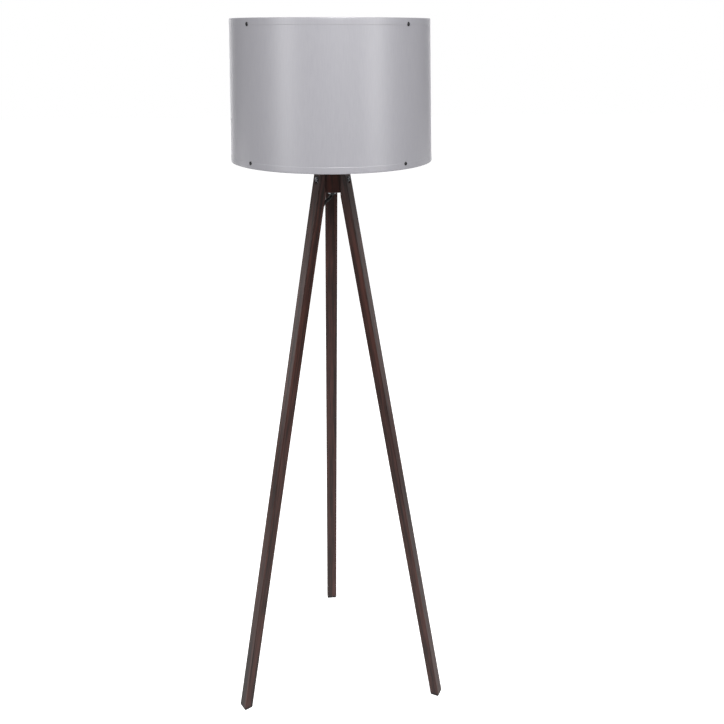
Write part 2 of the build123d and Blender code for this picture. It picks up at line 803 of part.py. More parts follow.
tab_bottom = shoulder - tab_length + arm_thickness
arm_top = shoulder + arm_thickness
with BuildPart() as lower_spider:
    for azimuth in lower_rivet_azimuths:
        with BuildSketch(leg_plane(azimuth)):
            with BuildLine():
                Polyline(
                    (ring_bore, shoulder),
                    (shade_radius_at(shoulder) - tab_inner_inset, shoulder),
                    (shade_radius_at(tab_bottom) - tab_inner_inset, tab_bottom),
                    (shade_radius_at(tab_bottom), tab_bottom),
                    (shade_radius_at(arm_top), arm_top),
                    (ring_bore, arm_top),
                    close=True,
                )
            make_face()
        extrude(amount=arm_width / 2, both=True)
    with BuildSketch(Plane.XY.offset(shoulder)):
        Circle(centre_ring_radius)
    extrude(amount=arm_thickness)
    with BuildSketch(Plane.XY.offset(shoulder - tab_length)):
        Circle(ring_bore)
    extrude(amount=2 * tab_length, mode=Mode.SUBTRACT)
    # The tabs follow the hoop's curve and taper, a small gap inside it.
    with BuildSketch(Plane.XZ):
        with BuildLine():
            Polyline(
                (0, tab_bottom),
                (shade_radius_at(tab_bottom) - arm_end_inset, tab_bottom),
                (shade_radius_at(arm_top) - arm_end_inset, arm_top),
                (0, arm_top),
                close=True,
            )
        make_face()
    revolve(axis=Axis.Z, mode=Mode.INTERSECT)
    cut_rivet_holes(2 * tab_inner_inset, lower_rivet_height, lower_rivet_azimuths)
write(lower_spider, "lower_spider")


def make_rivet(grip):
    """One rivet: a domed head above the XY plane and a flat tail, the grip's length below."""
    flat_radius = rivet_head_radius * rivet_flat_share
    with BuildPart() as rivet:
        with BuildSketch(Plane.XZ):
            with BuildLine():
                ThreePointArc(
                    (rivet_head_radius, 0),
                    (rivet_head_radius * rivet_dome_bulge[0], rivet_head_height * rivet_dome_bulge[1]),
                    (flat_radius, rivet_head_height),
                )
                Polyline(
                    (flat_radius, rivet_head_height),
                    (0, rivet_head_height),
                    (0, -grip - rivet_tail_height),
                    (rivet_tail_radius, -grip - rivet_tail_height),
                    (rivet_tail_radius, -grip),
                    (rivet_shank_radius, -grip),
                    (rivet_shank_radius, 0),
                    (rivet_head_radius, 0),
                )
            make_face()
        revolve(axis=Axis.Z)
    return rivet.part


rivet_rows = (
    (lower_rivet_height, lower_rivet_azimuths, tab_inner_inset),
    (upper_rivet_height, upper_rivet_azimuths, hoop_inner_inset),
)
with BuildPart() as shade_rivets:
    for height, azimuths, inset in rivet_rows:
        rivet = make_rivet(inset + rivet_head_lift + rivet_end_gap)
        with Locations(*[shade_face_plane(a, height, -rivet_head_lift) for a in azimuths]):
            add(rivet)
write(shade_rivets, "shade_rivets")

# ================================================================ mains cord
def cord_tube(points, name):
    """Round tube along straight runs joined by tangent arcs. Prints its radii and volume."""
    radii = arc_radii(points)
    with BuildPart() as tube:
        with BuildLine() as path:
            FilletPolyline(*points, radius=radii)
        start = path.wire() @ 0
        direction = path.wire() % 0
        with BuildSketch(Plane(origin=start, z_dir=direction)):
            Circle(cord_radius)
        sweep(path=path.wire())
    expected = pi * cord_radius**2 * path.wire().length
    print(name, "radii", [round(r, 1) for r in radii], "length", round(path.wire().length, 1))
    print(name, "volume over section times length", round(tube.part.volume / expected, 4))
    write(tube, name)


cord_tube(cord_route, "power_cord")

hank_start = Vector(*cord_route[-1])
hank_down = (hank_start - Vector(*cord_route[-2])).normalized()
hank_through = hank_down.cross(Vector(*hank_depth_direction)).normalized()
# In the hank's frame x runs from the near run to the far run, y runs up along the runs
# and z runs through its thickness. The cord comes in at the frame's origin.
hank_plane = Plane(
    origin=hank_start, x_dir=hank_through.cross(hank_down), z_dir=hank_through
)
hank_half = hank_layers * cord_radius
hank_middle = hank_plane.offset(cord_radius - hank_half)
hank_centre_y = -hank_stub - hank_run / 2
hank_bottom_y = -2 * hank_stub - hank_run
with BuildPart() as cord_hank:
    with BuildSketch(hank_middle):
        with Locations((hank_fold_radius, hank_centre_y)):
            SlotCenterToCenter(hank_run, 2 * (hank_fold_radius + cord_radius), rotation=90)
            SlotCenterToCenter(
                hank_run,
                2 * (hank_fold_radius - cord_radius),
                rotation=90,
                mode=Mode.SUBTRACT,
            )
    extrude(amount=hank_half, both=True)
    top_stub_plane = Plane(origin=hank_start, x_dir=hank_plane.x_dir, z_dir=hank_down)
    with BuildSketch(top_stub_plane):
        Circle(cord_radius)
    extrude(amount=hank_stub + hank_run / 4)
    tail_start = hank_plane.from_local_coords((0, hank_bottom_y, 2 * (cord_radius - hank_half)))
    bottom_stub_plane = Plane(origin=tail_start, x_dir=hank_plane.x_dir, z_dir=hank_down)
    with BuildSketch(bottom_stub_plane):
        Circle(cord_radius)
    extrude(amount=-(hank_stub + hank_run / 4))
write(cord_hank, "cord_hank")

tail_plane = Plane(origin=tail_start, x_dir=hank_plane.x_dir, z_dir=hank_through)
tail_points = [tuple(tail_plane.from_local_coords(p)) for p in tail_route]
cord_tube(tail_points, "cord_tail")

# Hook-and-loop tie around the hank's middle, across its frame.
tie_inner_width = 2 * (hank_fold_radius + cord_radius + tie_gap)
tie_inner_thickness = 2 * (hank_half + tie_gap)
tie_origin = hank_middle.from_local_coords((hank_fold_radius, hank_centre_y, 0))
tie_plane = Plane(origin=tie_origin, x_dir=hank_plane.x_dir, z_dir=hank_down)
with BuildPart() as cord_tie:
    with BuildSketch(tie_plane):
        RectangleRounded(
            tie_inner_width + 2 * tie_thickness,
            tie_inner_thickness + 2 * tie_thickness,
            tie_corner_round,
        )
        RectangleRounded(
            tie_inner_width,
            tie_inner_thickness,
            tie_corner_round - tie_thickness,
            mode=Mode.SUBTRACT,
        )
    extrude(amount=tie_height / 2, both=True)
write(cord_tie, "cord_tie")

# Wedge glued to the left leg's inner side, which carries the tie.
left = radians(leg_azimuths["left"])
outward = Vector(cos(left), sin(left), 0)
leg_up = (Vector(0, 0, 1) - outward * leg_slope).normalized()
leg_side = Vector(sin(left), -cos(left), 0)
leg_inward = leg_side.cross(leg_up)
leg_foot = outward * foot_circle_radius
mount_origin = leg_foot + leg_up * (tie_origin - leg_foot).dot(leg_up)
mount_plane = Plane(origin=mount_origin, x_dir=leg_inward, z_dir=leg_up)
tie_near = tie_plane.from_local_coords((-(tie_inner_width / 2 + tie_thickness + mount_gap), 0, 0))
mount_inner = leg_depth / 2 - leg_edge_round - mount_edge_clearance
depth_in_plane = mount_plane.to_local_coords(mount_origin + hank_plane.x_dir)
near_in_plane = mount_plane.to_local_coords(tie_near)


def mount_edge(across):
    """Side distance at which the wedge meets the tie, at a place across the leg's side."""
    level = near_in_plane.X * depth_in_plane.X + near_in_plane.Y * depth_in_plane.Y
    return (level - across * depth_in_plane.X) / depth_in_plane.Y


with BuildPart() as tie_mount:
    with BuildSketch(mount_plane):
        with BuildLine():
            Polyline(
                (mount_inner, leg_width / 2),
                (mount_inner, mount_edge(mount_inner)),
                (mount_outer, mount_edge(mount_outer)),
                (mount_outer, leg_width / 2),
                close=True,
            )
        make_face()
    extrude(amount=mount_height / 2, both=True)
write(tie_mount, "tie_mount")

# Self-adhesive clips on the leg's inner face, at the middles of some of the cord's runs.
clip_bore = cord_radius + clip_clearance
with BuildPart() as cord_clips:
    for run in clip_runs:
        a = Vector(*cord_route[run])
        b = Vector(*cord_route[run + 1])
        clip_plane = Plane(origin=(a + b) * 0.5, x_dir=leg_inward, z_dir=(b - a).normalized())
        with BuildSketch(clip_plane):
            Circle(clip_bore + clip_wall)
            with Locations((-clip_face_offset / 2, 0)):
                Rectangle(clip_face_offset, 2 * (clip_bore + clip_wall))
            with Locations((clip_base_thickness / 2 - clip_face_offset, 0)):
                Rectangle(clip_base_thickness, clip_base_width)
            Circle(clip_bore, mode=Mode.SUBTRACT)
            with Locations((-clip_face_offset - clip_wall, 0)):
                Rectangle(2 * clip_wall, 2 * clip_base_width, mode=Mode.SUBTRACT)
            with Locations((-clip_face_offset, 0)):
                Rectangle(2 * clip_face_offset, 2 * clip_bore, mode=Mode.SUBTRACT)
        extrude(amount=clip_length / 2, both=True)
write(cord_clips, "cord_clips")

# ================================================================ plug
plug_entry = Vector(*tail_points[-1])
plug_down = (plug_entry - Vector(*tail_points[-2])).normalized()
relief_plane = Plane(origin=plug_entry, x_dir=hank_plane.x_dir, z_dir=plug_down)
plug_plane = relief_plane.offset(relief_length)
with BuildPart() as strain_relief:
    with BuildSketch(relief_plane):
        Circle(relief_tip_radius)
    with BuildSketch(plug_plane):
        Circle(relief_base_radius)
    loft()
write(strain_relief, "strain_relief")

with BuildPart() as plug_body:
    for share, width, thickness in plug_sections:
        with BuildSketch(plug_plane.offset(plug_length * share)):
            RectangleRounded(width, thickness, plug_edge_round)
    loft(ruled=True)
    with BuildSketch(plug_plane.offset(plug_length)):
        with Locations((-pin_spacing / 2, 0), (pin_spacing / 2, 0)):
            Circle(pin_radius)
    extrude(amount=-pin_seat, mode=Mode.SUBTRACT)
write(plug_body, "plug_body")

with BuildPart() as plug_pins:
    with BuildSketch(plug_plane.offset(plug_length - pin_seat)):
        with Locations((-pin_spacing / 2, 0), (pin_spacing / 2, 0)):
            Circle(pin_radius)
    extrude(amount=pin_seat + pin_length)
    pin_ends = plug_pins.edges().sort_by(Axis(origin=plug_entry, direction=plug_down))[-2:]
    chamfer(pin_ends, length=pin_end_chamfer)
write(plug_pins, "plug_pins")
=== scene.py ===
"""Floor lamp on three straight wooden legs: its finishes, soft pieces, studio and camera."""
import logging
from dataclasses import dataclass
from enum import Enum
from math import atan2, cos, pi, radians, sin

import bmesh
import bpy
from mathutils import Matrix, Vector


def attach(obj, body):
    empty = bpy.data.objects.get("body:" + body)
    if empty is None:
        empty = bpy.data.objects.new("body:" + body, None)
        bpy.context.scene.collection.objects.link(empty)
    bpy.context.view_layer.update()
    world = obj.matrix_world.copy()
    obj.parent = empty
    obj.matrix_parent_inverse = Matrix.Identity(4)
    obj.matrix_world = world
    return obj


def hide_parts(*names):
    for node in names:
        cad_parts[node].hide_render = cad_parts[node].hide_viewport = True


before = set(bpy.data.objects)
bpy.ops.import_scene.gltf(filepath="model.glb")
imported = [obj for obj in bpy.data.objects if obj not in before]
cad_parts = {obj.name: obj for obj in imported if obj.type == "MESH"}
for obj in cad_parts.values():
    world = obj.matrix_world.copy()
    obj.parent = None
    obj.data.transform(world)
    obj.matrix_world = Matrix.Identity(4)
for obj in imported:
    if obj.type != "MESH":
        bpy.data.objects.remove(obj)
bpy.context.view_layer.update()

log = logging.getLogger("floor_lamp")

MM = 0.001
BANDS_PER_UNIT = 3.18  # bands that a wave texture draws along one unit at scale 1
Colour = tuple[float, float, float, float]
Point = tuple[float, float, float]
Span = tuple[float, float]
NOISE_SPAN: Span = (0.3, 0.7)  # where nearly all of a noise texture's values lie


# ---------------------------------------------------------------- shared helpers


def linear(code: str) -> Colour:
    """Turn an sRGB hex colour into linear values.

    Args:
        code: The colour as "#rrggbb".

    Returns:
        Red, green, blue and an alpha of 1.
    """
    values = []
    for start in (1, 3, 5):
        share = int(code[start:start + 2], 16) / 255
        values.append(share / 12.92 if share <= 0.04045 else ((share + 0.055) / 1.055) ** 2.4)
    return (*values, 1.0)


def add_node(tree: bpy.types.NodeTree, kind: str, inputs: dict | None = None,
             **settings: object) -> bpy.types.Node:
    """Add one shader node, with its settings, values and links.

    Args:
        tree: The node tree that gets the node.
        kind: Blender's name of the node's type.
        inputs: A value or an output socket for each input, by name or index.
        settings: The node's own properties.

    Returns:
        The new node.
    """
    node = tree.nodes.new(kind)
    for name, value in settings.items():
        setattr(node, name, value)
    for key, value in (inputs or {}).items():
        if isinstance(value, bpy.types.NodeSocket):
            tree.links.new(value, node.inputs[key])
        else:
            node.inputs[key].default_value = value
    return node


def new_tree(name: str) -> tuple[bpy.types.Material, bpy.types.NodeTree]:
    """Make an empty node material.

    Args:
        name: The material's name.

    Returns:
        The material and its cleared node tree.
    """
    material = bpy.data.materials.new(name)
    material.use_nodes = True
    material.node_tree.nodes.clear()
    return material, material.node_tree


def close_tree(tree: bpy.types.NodeTree, shader: bpy.types.Node) -> None:
    """Lead a shader to the material's output."""
    add_node(tree, "ShaderNodeOutputMaterial", {"Surface": shader.outputs[0]})


def uneven_gloss(tree: bpy.types.NodeTree, pattern: bpy.types.NodeSocket, roughness: float,
                 spread: Span) -> bpy.types.NodeSocket:
    """Let the roughness follow a noise pattern.

    Args:
        tree: The finish's node tree.
        pattern: The noise.
        roughness: The roughness to stay near.
        spread: What the pattern's low and high values add to it.

    Returns:
        The socket that gives the roughness.
    """
    return add_node(tree, "ShaderNodeMapRange", {
        "Value": pattern, "From Min": NOISE_SPAN[0], "From Max": NOISE_SPAN[1],
        "To Min": roughness + spread[0], "To Max": roughness + spread[1]}).outputs[0]


def new_mesh(name: str, vertices: list[Vector], faces: list[list[int]],
             smooth: bool = True) -> bpy.types.Object:
    """Make a mesh object and put it in the scene.

    Args:
        name: The piece's name.
        vertices: The mesh's points, in metres.
        faces: The points of each face.
        smooth: Whether the faces are shaded smooth.

    Returns:
        The new object.
    """
    mesh = bpy.data.meshes.new(name)
    mesh.from_pydata([tuple(v) for v in vertices], [], faces)
    mesh.validate()
    work = bmesh.new()
    work.from_mesh(mesh)
    bmesh.ops.recalc_face_normals(work, faces=work.faces)
    work.to_mesh(mesh)
    work.free()
    for polygon in mesh.polygons:
        polygon.use_smooth = smooth
    piece = bpy.data.objects.new(name, mesh)
    bpy.context.scene.collection.objects.link(piece)
    return piece


def round_edges(piece: bpy.types.Object, degrees: float = 35.0) -> None:
    """Keep edges sharper than an angle crisp, and shade the rest smooth."""
    piece.data.set_sharp_from_angle(angle=radians(degrees))


# ---------------------------------------------------------------- finishes


@dataclass(frozen=True)
class StainedBeech:
    """Beech stained a dark walnut and sprayed with satin lacquer: fine straight grain under a hazy gloss."""

    name: str
    light: str = "#502f28"
    dark: str = "#210f0b"
    grain_mm: float = 1.9  # real rays are near 0.6 mm apart; drawn three times as coarse, so that they show
    ray_mm: float = 60.0
    figure_mm: Span = (9.0, 420.0)  # width and length of the growth rings' broad figure
    contrast: Span = (0.78, 1.25)  # sums of fine and broad grain that give the dark and the light wood
    tilt: float = 0.0
    turn: float = 0.0
    board: float = 0.0
    roughness: float = 0.4
    spread: Span = (0.08, -0.05)  # what pores and the wood between them add to the roughness
    relief: float = 0.22
    foot_shadow_mm: Span = (3.0, 9.0)  # heights between which the foot's colour darkens towards the floor: painted contact shadow, together with the dark foot end above the pads
    foot_shadow: float = 0.12  # the share of the colour left at the very end, under the painted contact shadow

    def build(self) -> bpy.types.Material:
        """Build the stained wood.

        Returns:
            The material, with its grain along the piece's own length.
        """
        material, tree = new_tree(self.name)
        place = add_node(tree, "ShaderNodeTexCoord").outputs["Object"]
        # the leg's bearing is turned away first, then its lean, so that the grain runs along Z
        turned = add_node(tree, "ShaderNodeVectorRotate", {"Vector": place, "Angle": -self.turn},
                          rotation_type="Z_AXIS").outputs[0]
        upright = add_node(tree, "ShaderNodeVectorRotate", {"Vector": turned, "Angle": -self.tilt},
                           rotation_type="Y_AXIS").outputs[0]
        fibre = add_node(tree, "ShaderNodeMapping", {
            "Vector": upright, "Location": (self.board, self.board * 0.7, self.board * 0.3),
            "Scale": (1 / (self.grain_mm * MM), 1 / (self.grain_mm * MM), 1 / (self.ray_mm * MM))}).outputs[0]
        pores = add_node(tree, "ShaderNodeTexNoise", {
            "Vector": fibre, "Scale": 1.0, "Detail": 5.0, "Roughness": 0.62, "Distortion": 0.25}).outputs[0]
        wide, long = self.figure_mm
        broad = add_node(tree, "ShaderNodeMapping", {
            "Vector": upright, "Location": (self.board * 1.3, 0.2, self.board),
            "Scale": (1 / (wide * MM), 1 / (wide * MM), 1 / (long * MM))}).outputs[0]
        figure = add_node(tree, "ShaderNodeTexNoise", {
            "Vector": broad, "Scale": 1.0, "Detail": 3.0, "Roughness": 0.5, "Distortion": 0.6}).outputs[0]
        mixed = add_node(tree, "ShaderNodeMath", {0: pores, 1: figure}, operation="ADD").outputs[0]
        share = add_node(tree, "ShaderNodeMapRange", {
            "Value": mixed, "From Min": self.contrast[0], "From Max": self.contrast[1]},
            interpolation_type="SMOOTHSTEP").outputs[0]
        colour = add_node(tree, "ShaderNodeMix", {
            0: share, 6: linear(self.dark), 7: linear(self.light)}, data_type="RGBA").outputs[2]
        height = add_node(tree, "ShaderNodeSeparateXYZ", {"Vector": place}).outputs[2]
        # painted contact shadow: the wood's colour darkens over the foot's lowest millimetres, together with
        # the dark foot end above the pads
        foot_shadow = add_node(tree, "ShaderNodeMapRange", {
            "Value": height, "From Min": self.foot_shadow_mm[0] * MM, "From Max": self.foot_shadow_mm[1] * MM,
            "To Min": self.foot_shadow}).outputs[0]
        colour = add_node(tree, "ShaderNodeVectorMath", {0: colour, 1: foot_shadow},
                          operation="MULTIPLY").outputs[0]
        gloss = uneven_gloss(tree, pores, self.roughness, self.spread)
        relief = add_node(tree, "ShaderNodeBump", {
            "Height": pores, "Strength": self.relief, "Distance": 0.25 * MM}).outputs[0]
        shader = add_node(tree, "ShaderNodeBsdfPrincipled", {
            "Base Color": colour, "Roughness": gloss, "Normal": relief, "IOR": 1.47,
            "Coat Weight": 0.08, "Coat Roughness": 0.22})
        close_tree(tree, shader)
        return material


@dataclass(frozen=True)
class Moulded:
    """Plastic or rubber from a spark-eroded mould: an even matt skin whose fine grit breaks up highlights."""

    name: str
    colour: str
    roughness: float = 0.45
    grit_mm: float = 0.6  # real grit is near 0.05 mm; drawn coarser, so that it shows in a close view
    relief: float = 0.12
    drift: float = 0.18  # how much paler the plastic flows in places
    ior: float = 1.5
    flow_mm: float = 18.0  # size of the places where the plastic flowed paler
    spread: Span = (-0.06, 0.08)  # what the grit's hollows and peaks add to the roughness

    def build(self) -> bpy.types.Material:
        """Build the moulded skin.

        Returns:
            The material.
        """
        material, tree = new_tree(self.name)
        place = add_node(tree, "ShaderNodeTexCoord").outputs["Object"]
        grit = add_node(tree, "ShaderNodeTexNoise", {
            "Vector": place, "Scale": 1 / (self.grit_mm * MM), "Detail": 3.0, "Roughness": 0.6}).outputs[0]
        flow = add_node(tree, "ShaderNodeTexNoise", {
            "Vector": place, "Scale": 1 / (self.flow_mm * MM), "Detail": 2.0}).outputs[0]
        base = linear(self.colour)
        paler = tuple(min(1.0, c * (1 + self.drift)) for c in base[:3]) + (1.0,)
        colour = add_node(tree, "ShaderNodeMix", {0: flow, 6: base, 7: paler}, data_type="RGBA").outputs[2]
        gloss = uneven_gloss(tree, grit, self.roughness, self.spread)
        skin = add_node(tree, "ShaderNodeBump", {
            "Height": grit, "Strength": self.relief, "Distance": 0.1 * MM}).outputs[0]
        shader = add_node(tree, "ShaderNodeBsdfPrincipled", {
            "Base Color": colour, "Roughness": gloss, "Normal": skin, "IOR": self.ior})
        close_tree(tree, shader)
        return material


@dataclass(frozen=True)
class Metal:
    """Turned, rolled or plated metal: fine tool marks in one direction stretch its reflections a little."""

    name: str
    colour: str
    roughness: float = 0.28
    mark_mm: float = 0.7  # tool marks are nearer 0.1 mm; drawn coarser, so that they show in a close view
    along: Point = (1.0, 1.0, 0.15)
    relief: float = 0.08
    haze_mm: float = 7.0  # size of the duller places that handling and plating leave
    dullest: float = 0.8  # the share of the brightness that is left there
    spread: Span = (-0.06, 0.1)  # what the marks' hollows and peaks add to the roughness

    def build(self) -> bpy.types.Material:
        """Build the metal.

        Returns:
            The material.
        """
        material, tree = new_tree(self.name)
        place = add_node(tree, "ShaderNodeTexCoord").outputs["Object"]
        stretched = add_node(tree, "ShaderNodeMapping", {
            "Vector": place, "Scale": tuple(a / (self.mark_mm * MM) for a in self.along)}).outputs[0]
        marks = add_node(tree, "ShaderNodeTexNoise", {
            "Vector": stretched, "Scale": 1.0, "Detail": 4.0, "Roughness": 0.65}).outputs[0]
        haze = add_node(tree, "ShaderNodeTexNoise", {
            "Vector": place, "Scale": 1 / (self.haze_mm * MM), "Detail": 2.0}).outputs[0]
        base = linear(self.colour)
        duller = tuple(c * self.dullest for c in base[:3]) + (1.0,)
        colour = add_node(tree, "ShaderNodeMix", {0: haze, 6: base, 7: duller}, data_type="RGBA").outputs[2]
        gloss = uneven_gloss(tree, marks, self.roughness, self.spread)
        skin = add_node(tree, "ShaderNodeBump", {
            "Height": marks, "Strength": self.relief, "Distance": 0.05 * MM}).outputs[0]
        shader = add_node(tree, "ShaderNodeBsdfPrincipled", {
            "Base Color": colour, "Metallic": 1.0, "Roughness": gloss, "Normal": skin})
        close_tree(tree, shader)
        return material


@dataclass(frozen=True)
class SatinWeave:
    """Polyester satin laminated to a stiff sheet: close warp threads give the drum a soft silver shine."""

    name: str
    light: str = "#b0afb5"
    dark: str = "#a9a8af"
    thread_mm: float = 0.9  # real threads are 0.3 mm apart; drawn three times as coarse, so that they show
    weft_ratio: float = 1.35  # the weft's spacing over the warp's
    slub_mm: Span = (1.4, 26.0)  # width and length of the thicker places in the warp
    radius: float = 0.19
    roughness: float = 0.4
    spread: Span = (-0.04, 0.06)  # what thin and thick places add to the roughness
    relief: float = 0.07

    def build(self) -> bpy.types.Material:
        """Build the satin.

        Returns:
            The material, woven round the drum's own axis.
        """
        material, tree = new_tree(self.name)
        place = add_node(tree, "ShaderNodeTexCoord").outputs["Object"]
        parts = add_node(tree, "ShaderNodeSeparateXYZ", {"Vector": place}).outputs
        bearing = add_node(tree, "ShaderNodeMath", {0: parts[1], 1: parts[0]}, operation="ARCTAN2").outputs[0]
        around = add_node(tree, "ShaderNodeMath", {0: bearing, 1: self.radius},
                          operation="MULTIPLY").outputs[0]
        flat = add_node(tree, "ShaderNodeCombineXYZ", {"X": around, "Y": parts[2]}).outputs[0]
        warp = add_node(tree, "ShaderNodeTexWave", {
            "Vector": flat, "Scale": 1 / (self.thread_mm * MM) / BANDS_PER_UNIT, "Distortion": 0.4,
            "Detail": 1.0, "Detail Scale": 2.0}, bands_direction="X").outputs["Fac"]
        weft = add_node(tree, "ShaderNodeTexWave", {
            "Vector": flat, "Scale": 1 / (self.thread_mm * self.weft_ratio * MM) / BANDS_PER_UNIT,
            "Distortion": 0.4, "Detail": 1.0, "Detail Scale": 2.0}, bands_direction="Y").outputs["Fac"]
        cloth = add_node(tree, "ShaderNodeMath", {0: warp, 1: weft}, operation="MAXIMUM").outputs[0]
        wide, long = self.slub_mm
        stretched = add_node(tree, "ShaderNodeMapping", {
            "Vector": place, "Scale": (1 / (wide * MM), 1 / (wide * MM), 1 / (long * MM))}).outputs[0]
        slubs = add_node(tree, "ShaderNodeTexNoise", {
            "Vector": stretched, "Scale": 1.0, "Detail": 4.0, "Roughness": 0.6}).outputs[0]
        share = add_node(tree, "ShaderNodeMapRange", {
            "Value": slubs, "From Min": NOISE_SPAN[0], "From Max": NOISE_SPAN[1]}).outputs[0]
        colour = add_node(tree, "ShaderNodeMix", {
            0: share, 6: linear(self.dark), 7: linear(self.light)}, data_type="RGBA").outputs[2]
        height = add_node(tree, "ShaderNodeMath", {0: slubs, 1: 0.5, 2: cloth},
                          operation="MULTIPLY_ADD").outputs[0]
        relief = add_node(tree, "ShaderNodeBump", {
            "Height": height, "Strength": self.relief, "Distance": 0.1 * MM}).outputs[0]
        gloss = uneven_gloss(tree, slubs, self.roughness, self.spread)
        shader = add_node(tree, "ShaderNodeBsdfPrincipled", {
            "Base Color": colour, "Roughness": gloss, "Normal": relief, "IOR": 1.6,
            "Specular IOR Level": 1.0, "Sheen Weight": 0.1, "Sheen Roughness": 0.3,
            "Sheen Tint": linear("#dcd8f0")})
        close_tree(tree, shader)
        return material


@dataclass(frozen=True)
class OpalGlass:
    """Soda glass with a white inner coating: milky, smooth, and a little see-through at the edge."""

    name: str
    colour: str = "#f4f3ee"
    thinner: str = "#e6e5df"  # where the coating is thin
    coating_mm: float = 5.0
    roughness: float = 0.12
    spread: Span = (-0.04, 0.06)  # what thin and thick coating add to the roughness

    def build(self) -> bpy.types.Material:
        """Build the glass.

        Returns:
            The material.
        """
        material, tree = new_tree(self.name)
        place = add_node(tree, "ShaderNodeTexCoord").outputs["Object"]
        coating = add_node(tree, "ShaderNodeTexNoise", {
            "Vector": place, "Scale": 1 / (self.coating_mm * MM), "Detail": 4.0, "Roughness": 0.6}).outputs[0]
        colour = add_node(tree, "ShaderNodeMix", {
            0: coating, 6: linear(self.colour), 7: linear(self.thinner)}, data_type="RGBA").outputs[2]
        gloss = add_node(tree, "ShaderNodeMapRange", {
            "Value": coating, "To Min": self.roughness + self.spread[0],
            "To Max": self.roughness + self.spread[1]}).outputs[0]
        shader = add_node(tree, "ShaderNodeBsdfPrincipled", {
            "Base Color": colour, "Roughness": gloss, "IOR": 1.5, "Transmission Weight": 0.08,
            "Subsurface Weight": 0.25, "Subsurface Scale": 0.004})
        close_tree(tree, shader)
        return material


@dataclass(frozen=True)
class LoopTape:
    """Woven nylon hook and loop tape: short fuzzy loops that scatter light and never shine."""

    name: str
    colour: str = "#1b1b1d"
    loop_mm: float = 1.1  # real loops are near 0.4 mm; drawn coarser, so that they show in a close view
    lit_tip_gain: float = 2.4  # how much paler the loops' tips are than their roots: painted light on the tips, painted shade down between the loops

    def build(self) -> bpy.types.Material:
        """Build the tape.

        Returns:
            The material.
        """
        material, tree = new_tree(self.name)
        place = add_node(tree, "ShaderNodeTexCoord").outputs["Object"]
        loops = add_node(tree, "ShaderNodeTexVoronoi", {
            "Vector": place, "Scale": 1 / (self.loop_mm * MM)}).outputs["Distance"]
        base = linear(self.colour)
        # paler tips and darker roots between the loops: painted light and shade
        paler = tuple(c * self.lit_tip_gain + 0.004 for c in base[:3]) + (1.0,)
        colour = add_node(tree, "ShaderNodeMix", {0: loops, 6: base, 7: paler}, data_type="RGBA").outputs[2]
        relief = add_node(tree, "ShaderNodeBump", {
            "Height": loops, "Strength": 0.6, "Distance": 0.3 * MM}).outputs[0]
        shader = add_node(tree, "ShaderNodeBsdfPrincipled", {
            "Base Color": colour, "Roughness": 0.85, "Normal": relief,
            "Sheen Weight": 0.4, "Sheen Roughness": 0.5})
        close_tree(tree, shader)
        return material


Finish = StainedBeech | Moulded | Metal | SatinWeave | OpalGlass | LoopTape


class LegBearing(Enum):
    """The way that each leg leans out from the stem, as a bearing in degrees from +X."""

    LEFT = 210.0
    RIGHT = 330.0
    REAR = 90.0


def dress(finish: Finish, *nodes: str) -> None:
    """Give a finish to carried-over pieces.

    Args:
        finish: The finish, which builds one material.
        nodes: The pieces that share it.
    """
    material = finish.build()
    for name in nodes:
        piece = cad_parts[name]
        if not piece.data.materials:
            piece.data.materials.append(material)
        for slot in piece.material_slots:
            slot.material = material
        log.info("%s: %s", name, finish.name)


# ---------------------------------------------------------------- camera and studio


@dataclass
class Camera:
    """A camera at standing eye height in front of the lamp, a little to its left, looking down along it."""

    place: Point = (-0.1016, -1.6374, 1.445)
    down: float = 21.66  # degrees below the level
    aside: float = -5.59  # degrees round from +Y, against the clock
    lens: float = 41.36  # millimetres, as is the sensor's width
    sensor: float = 36.0

    def build(self) -> bpy.types.Object:
        """Build the camera and make it the scene's own.

        Returns:
            The camera.
        """
        data = bpy.data.cameras.new("camera")
        data.lens = self.lens
        data.sensor_width = self.sensor
        data.clip_start = 0.05
        data.clip_end = 40.0
        camera = bpy.data.objects.new("camera", data)
        camera.location = self.place
        camera.rotation_euler = (radians(90 - self.down), 0.0, radians(self.aside))
        bpy.context.scene.collection.objects.link(camera)
        bpy.context.scene.camera = camera
        log.info("camera at %s", self.place)
        return camera


@dataclass(frozen=True)
class SoftBox:
    """One soft box, by its place round the lamp and by its face; lengths are in metres."""

    name: str
    aside: float  # its direction from the lamp, in degrees round from the camera's side
    distance: float
    height: float  # of its middle
    width: float
    tall: float
    radiance: float  # how bright its face is; the white surround is 1


